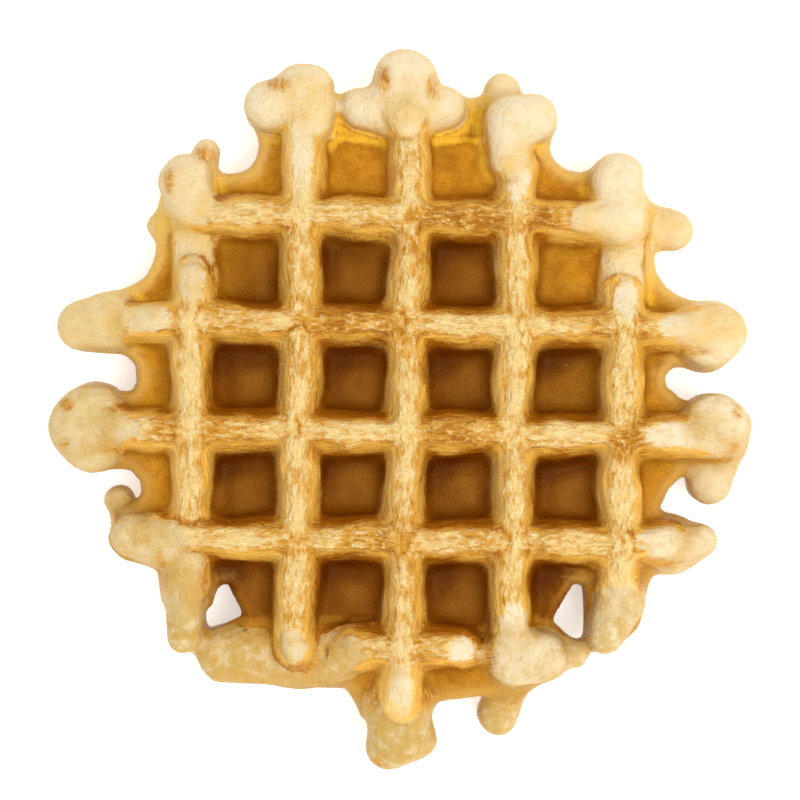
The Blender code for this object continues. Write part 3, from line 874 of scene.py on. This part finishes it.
class Paint:
    """Short calls for the nodes of one material."""

    def __init__(self, name):
        self.material = bpy.data.materials.new(name)
        self.material.use_nodes = True
        self.tree = self.material.node_tree
        self.shader = self.tree.nodes["Principled BSDF"]

    def node(self, kind, **settings):
        made = self.tree.nodes.new(kind)
        for key, value in settings.items():
            setattr(made, key, value)
        return made

    def link(self, source, target):
        self.tree.links.new(source, target)

    def feed(self, socket, value):
        if isinstance(value, bpy.types.NodeSocket):
            self.link(value, socket)
        else:
            socket.default_value = value

    def mask(self, name):
        return self.node("ShaderNodeAttribute", attribute_name=name).outputs["Fac"]

    def math(self, operation, first, second):
        made = self.node("ShaderNodeMath", operation=operation)
        self.feed(made.inputs[0], first)
        self.feed(made.inputs[1], second)
        return made.outputs[0]

    def centred(self, noise, strength=1.0):
        """Noise between 0 and 1 moved to lie evenly about 0, times the given strength."""
        return self.math("MULTIPLY", self.math("SUBTRACT", noise, 0.5), strength)

    def span(self, value, low, high, out_low=0.0, out_high=1.0):
        made = self.node("ShaderNodeMapRange", interpolation_type="SMOOTHSTEP")
        self.feed(made.inputs["Value"], value)
        for key, number in (("From Min", low), ("From Max", high), ("To Min", out_low), ("To Max", out_high)):
            self.feed(made.inputs[key], number)
        return made.outputs["Result"]

    def mix(self, share, first, second):
        made = self.node("ShaderNodeMix", data_type="RGBA")
        self.feed(made.inputs[0], share)
        self.feed(made.inputs[6], first)
        self.feed(made.inputs[7], second)
        return made.outputs[2]

    def noise(self, size_mm, stretch=(1.0, 1.0, 1.0), detail=3.0, offset=0.0, roughness=0.5, twist=0.0):
        """Noise between 0 and 1 with features of about the given size."""
        place = self.node("ShaderNodeTexCoord").outputs["Object"]
        mapping = self.node("ShaderNodeMapping")
        mapping.inputs["Scale"].default_value = stretch
        mapping.inputs["Location"].default_value = (offset, offset * 0.7, offset * 0.3)
        self.link(place, mapping.inputs["Vector"])
        made = self.node("ShaderNodeTexNoise")
        made.inputs["Scale"].default_value = 1.0 / (size_mm * MM)
        made.inputs["Detail"].default_value = detail
        made.inputs["Roughness"].default_value = roughness
        made.inputs["Distortion"].default_value = twist
        self.link(mapping.outputs["Vector"], made.inputs["Vector"])
        return made.outputs["Fac"]


def ridge_noise(paint, size, stretch, twist):
    """Noise drawn out along each ridge: along y on columns and along x on rows."""
    turned = (stretch[1], stretch[0], stretch[2])
    along_y, along_x = paint.noise(size, stretch, twist=twist), paint.noise(size, turned, twist=twist)
    return paint.mix(paint.mask("row"), along_y, along_x)


def floor_colour(paint, bake, pocket_shade, mottle, lumps, speckle):
    """Pocket floors: golden near the rim and brown in the middle, with a painted reflection as a lighter
    greyish patch and painted shade at the upper left.
    """
    floor = paint.mix(bake, GOLD_FLOOR, BROWN_FLOOR)
    # painted reflection: a lighter greyish patch near each pocket's middle, strongest where the floor is most
    # baked
    reflected = paint.math("MULTIPLY", paint.mask("pocket_reflection"), paint.math("MULTIPLY", bake, 0.85))
    floor = paint.mix(reflected, floor, REFLECTION_FLOOR)
    floor = paint.mix(paint.span(mottle, 0.45, 0.75, 0.0, 0.25), floor, BROWN_FLOOR)
    floor = paint.mix(paint.span(speckle, 0.5, 0.72, 0.0, 0.35), floor, BROWN_FLOOR)
    toasted = paint.math("MULTIPLY", paint.span(lumps, 0.4, 0.65, 0.0, 0.55), paint.span(bake, 0.9, 0.3))
    floor = paint.mix(toasted, floor, BROWN_FLANK)
    # painted shade at the pocket's upper left
    return paint.mix(pocket_shade, floor, SHADED_FLOOR)


def flank_colour(paint, pocket_shade, streaks):
    """Flanks: streaks along the ridge, brown at the foot and golden to cream higher up, with painted light
    and shade by the way each flank faces.
    """
    flank_tone = paint.math("ADD", paint.mask("flank"), paint.centred(streaks))
    flank = paint.mix(paint.span(flank_tone, 0.05, 0.6), BROWN_FLANK, GOLD_FLANK)
    flank = paint.mix(paint.span(flank_tone, 0.65, 1.05, 0.0, 0.8), flank, PALE_FLANK)
    # painted shade: browner in the flank's hollows
    flank = paint.mix(paint.span(paint.mask("hollow_shade"), 0.62, 0.9, 0.0, 0.5), flank, BROWN_FLANK)
    # painted shade at the flank's foot towards the upper left
    return paint.mix(paint.math("MULTIPLY", pocket_shade, 0.5), flank, SHADED_FLOOR)


def crest_colour(paint, folds, mottle, speckle):
    """Crests: cream on what stands out and golden to brown in the folds and wrinkles, painted shade over the
    crust's own mottling and browning, with painted glints.
    """
    browned = paint.math("ADD", paint.mask("tone"), paint.centred(mottle, 0.7))
    # painted shade in the wrinkles' valleys
    browned = paint.math("ADD", browned, paint.centred(paint.mask("wrinkle_shade"), 0.6))
    # painted shade in the valleys of the folds that the bump sinks
    browned = paint.math("ADD", browned, paint.centred(folds, -1.6))
    top = paint.mix(paint.span(browned, 0.05, 0.75), CREAM_CREST, GOLD_CREST)
    top = paint.mix(paint.span(browned, 0.6, 1.15, 0.0, 0.9), top, BROWN_CREST)
    # painted glints on the crests
    glint = paint.math("MULTIPLY", paint.span(speckle, 0.52, 0.68, 0.0, 0.7), paint.span(folds, 0.45, 0.65))
    return paint.mix(glint, top, PAINTED_GLINT)


def batter_colour(paint, crease_shade_tone, streaks, folds, mottle, lumps, speckle):
    """Batter that the iron hardly touched: painted warm golden shade in the creases and where it turns down,
    with painted glints and a few browned spots.
    """
    tan, south = paint.mask("tan"), paint.mask("south")
    deep_tone = paint.mix(paint.mask("ripe"), DEEP_BATTER, RIPE_BATTER)
    raw = paint.mix(tan, PALE_BATTER, TAN_BATTER)
    raw = paint.mix(south, raw, DUSKY_BATTER)
    raw = paint.mix(paint.span(lumps, 0.46, 0.3, 0.0, 0.5), raw, PALE_BATTER)
    uneven = paint.span(south, 0.0, 1.0, 0.3, 0.75)
    raw = paint.mix(paint.math("MULTIPLY", paint.span(mottle, 0.5, 0.66), uneven), raw, PALE_BATTER)
    raw = paint.mix(paint.math("MULTIPLY", paint.span(mottle, 0.5, 0.36), uneven), raw, deep_tone)
    raw = paint.mix(paint.span(paint.mask("height"), 0.9, 0.3, 0.0, 0.3), raw, deep_tone)
    blotch = paint.math("MULTIPLY", paint.span(lumps, 0.45, 0.68), paint.span(tan, 0.0, 1.0, 0.3, 0.6))
    raw = paint.mix(blotch, raw, deep_tone)
    # painted warm shade where the batter turns down and meets the rest
    gilt_shade = paint.math("MULTIPLY", paint.mask("gilt_shade"), paint.span(lumps, 0.3, 0.6, 0.45, 0.95))
    raw = paint.mix(gilt_shade, raw, deep_tone)
    # painted warm shade in the batter's hollows
    raw = paint.mix(paint.span(paint.mask("hollow_shade"), 0.54, 0.8, 0.0, 0.8), raw, crease_shade_tone)
    # painted glints on the batter's raised folds
    raw = paint.mix(paint.span(folds, 0.66, 0.78, 0.0, 0.4), raw, PAINTED_GLINT)
    raw = paint.mix(paint.span(speckle, 0.66, 0.76, 0.0, 0.35), raw, GOLD_CREST)
    flake_tone = paint.mix(paint.span(folds, 0.35, 0.6), BROWN_CREST, GOLD_CREST)
    flaky = paint.math("MULTIPLY", paint.mask("spot"), paint.span(streaks, 0.35, 0.55, 0.35, 1.0))
    raw = paint.mix(flaky, raw, flake_tone)
    return paint.mix(paint.math("MULTIPLY", paint.mask("seam"), 0.5), raw, GOLD_CREST)


def set_gloss(paint, speckle):
    paint.link(paint.span(speckle, 0.35, 0.7, *ROUGHNESS), paint.shader.inputs["Roughness"])
    paint.shader.inputs["Specular IOR Level"].default_value = GLOSS
    paint.shader.inputs["Specular Tint"].default_value = GLOSS_TINT
    paint.shader.inputs["Subsurface Weight"].default_value = TRANSLUCENCY
    paint.shader.inputs["Subsurface Radius"].default_value = TRANSLUCENT_RADIUS
    paint.shader.inputs["Subsurface Scale"].default_value = TRANSLUCENT_DEPTH


def set_relief(paint, height, drip, streaks, folds, lumps, speckle):
    """Streaks and folds on the ridges, softer on batter, and lumps on the drips."""
    rough = paint.math("MULTIPLY", streaks, paint.span(height, 0.05, 0.3))
    rough = paint.math("ADD", rough, paint.math("MULTIPLY", speckle, 0.25))
    fold_relief = paint.math("MULTIPLY", paint.centred(folds, 2.0), paint.mask("crest"))
    rough = paint.math("ADD", rough, fold_relief)
    rough = paint.math("MULTIPLY", rough, paint.span(paint.mask("drip"), 0.0, 1.0, 1.0, 0.3))
    lump_relief = paint.math("MULTIPLY", paint.centred(lumps, 2.0), drip)
    rough = paint.math("ADD", rough, lump_relief)
    bump = paint.node("ShaderNodeBump")
    bump.inputs["Strength"].default_value = BUMP_STRENGTH
    bump.inputs["Distance"].default_value = BUMP_DEPTH
    paint.link(rough, bump.inputs["Height"])
    paint.link(bump.outputs["Normal"], paint.shader.inputs["Normal"])


def crust_material():
    paint = Paint("baked_crust")
    height, bake = paint.mask("height"), paint.mask("bake")
    streaks = ridge_noise(paint, STREAK, (1.0, 0.3, 0.5), 1.2)
    folds = ridge_noise(paint, FOLD, (1.0, 0.45, 0.7), 0.6)
    mottle = paint.noise(MOTTLE, detail=4.0, roughness=0.55, offset=0.2)
    lumps = paint.noise(LUMP, detail=5.0, roughness=0.6, offset=0.4)
    speckle = paint.noise(SPECKLE, detail=1.0, offset=0.9)

    # where one kind of crust meets another, the edge is ragged
    ragged = paint.math("ADD", paint.centred(mottle), paint.centred(folds))
    soft_ragged = paint.math("MULTIPLY", ragged, 0.6)
    drip = paint.span(paint.math("ADD", paint.mask("drip"), ragged), 0.3, 0.7)
    rim = paint.span(paint.math("ADD", paint.mask("rim"), soft_ragged), 0.1, 0.95)
    crease_shade = paint.span(paint.math("ADD", paint.mask("crease_shade"), soft_ragged), 0.2, 0.95)

    # painted shade, with some browning: floors and the feet of flanks are darkest towards the upper left
    pocket_shade = paint.math("MULTIPLY", paint.mask("pocket_shade"), paint.span(bake, 0.0, 1.0, 0.25, 0.95))
    crease_shade_tone = paint.mix(paint.mask("ripe"), GOLD_CREASE_SHADE, BROWN_CREASE_SHADE)
    edge_tone = paint.mix(paint.mask("ripe"), DEEP_BATTER, TAN_EDGE)
    edge_tone = paint.mix(paint.mask("south"), edge_tone, DUSKY_EDGE)
    floor = floor_colour(paint, bake, pocket_shade, mottle, lumps, speckle)
    flank = flank_colour(paint, pocket_shade, streaks)
    top = crest_colour(paint, folds, mottle, speckle)
    raw = batter_colour(paint, crease_shade_tone, streaks, folds, mottle, lumps, speckle)

    foot = paint.math("ADD", height, paint.centred(mottle, 0.25))
    baked = paint.mix(paint.span(foot, 0.0, 0.42), floor, flank)
    # painted warm shade where the drips meet the rest
    baked = paint.mix(paint.math("MULTIPLY", crease_shade, 0.7), baked, crease_shade_tone)
    baked = paint.mix(paint.mask("crest"), baked, top)
    baked = paint.mix(paint.math("MULTIPLY", rim, 0.8), baked, edge_tone)
    paint.link(paint.mix(drip, baked, raw), paint.shader.inputs["Base Color"])
    set_gloss(paint, speckle)
    set_relief(paint, height, drip, streaks, folds, lumps, speckle)
    return paint.material


def build_waffle():
    web, ridges, drips, lips = make_shapes()
    axes, field = fill_field(web, ridges + drips + lips)
    points, quads = largest_shell(*mesh_field(axes, field))
    mesh = make_mesh(points, quads)
    outward(mesh)
    masks = Surface(points, fetch_normals(mesh), web, ridges, drips).masks()
    roughen(mesh, masks)
    points, normals = fetch_points(mesh), fetch_normals(mesh)
    for name, rounds, depth in HOLLOWS:
        masks[name] = np.clip(0.5 + hollow_depth(points, normals, quads, rounds) / (2.0 * depth), 0.0, 1.0)
    for name, values in masks.items():
        add_mask(mesh, name, values)
    waffle = bpy.data.objects.new("waffle_crust", mesh)
    bpy.context.scene.collection.objects.link(waffle)
    thin_underside(waffle)
    drawing_point = place_over_solid(waffle)
    waffle.data.shade_smooth()
    waffle.data.materials.clear()
    waffle.data.materials.append(crust_material())
    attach(waffle, "root")
    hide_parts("waffle")
    return drawing_point


def build_floor():
    side = FLOOR_HALF_SIDE
    mesh = bpy.data.meshes.new("floor")
    corners = [(-side, -side, 0.0), (side, -side, 0.0), (side, side, 0.0), (-side, side, 0.0)]
    mesh.from_pydata(corners, [], [(0, 1, 2, 3)])
    floor = bpy.data.objects.new("floor", mesh)
    bpy.context.scene.collection.objects.link(floor)
    paint = Paint("plain_floor")
    paint.shader.inputs["Base Color"].default_value = FLOOR_COLOUR
    paint.shader.inputs["Roughness"].default_value = 0.9
    paint.shader.inputs["Emission Color"].default_value = WHITE
    paint.shader.inputs["Emission Strength"].default_value = FLOOR_GLOW
    mesh.materials.append(paint.material)


def add_light(name, position, target, size, watts):
    light = bpy.data.lights.new(name, "AREA")
    light.shape = "DISK"
    light.size = size
    light.energy = watts
    lamp = bpy.data.objects.new(name, light)
    lamp.location = position
    lamp.rotation_euler = (Vector(target) - Vector(position)).to_track_quat("-Z", "Y").to_euler()
    bpy.context.scene.collection.objects.link(lamp)


def light_scene():
    world = bpy.data.worlds.new("studio")
    world.use_nodes = True
    background = world.node_tree.nodes["Background"]
    background.inputs["Color"].default_value = WHITE
    background.inputs["Strength"].default_value = SKY_STRENGTH
    bpy.context.scene.world = world
    add_light("key", KEY_PLACE, (0.0, 0.0, 0.0), KEY_SIZE, KEY_WATTS)
    bpy.context.scene.view_settings.view_transform = "Standard"


def add_camera(drawing_point):
    data = bpy.data.cameras.new("camera")
    camera = bpy.data.objects.new("camera", data)
    data.sensor_fit = "HORIZONTAL"
    data.angle = 2.0 * math.atan(PHOTO_MM_ACROSS / 2.0 / CAMERA_ABOVE_CRESTS)
    above = HALF_HEIGHT + CAMERA_ABOVE_CRESTS
    camera.location = drawing_point + Vector((CAMERA_X, CAMERA_Y, above)) * MM
    camera.rotation_euler = (0.0, 0.0, CAMERA_ROLL)
    data.clip_end = 10.0
    bpy.context.scene.collection.objects.link(camera)
    bpy.context.scene.camera = camera


drawing_point = build_waffle()
build_floor()
light_scene()
add_camera(drawing_point)
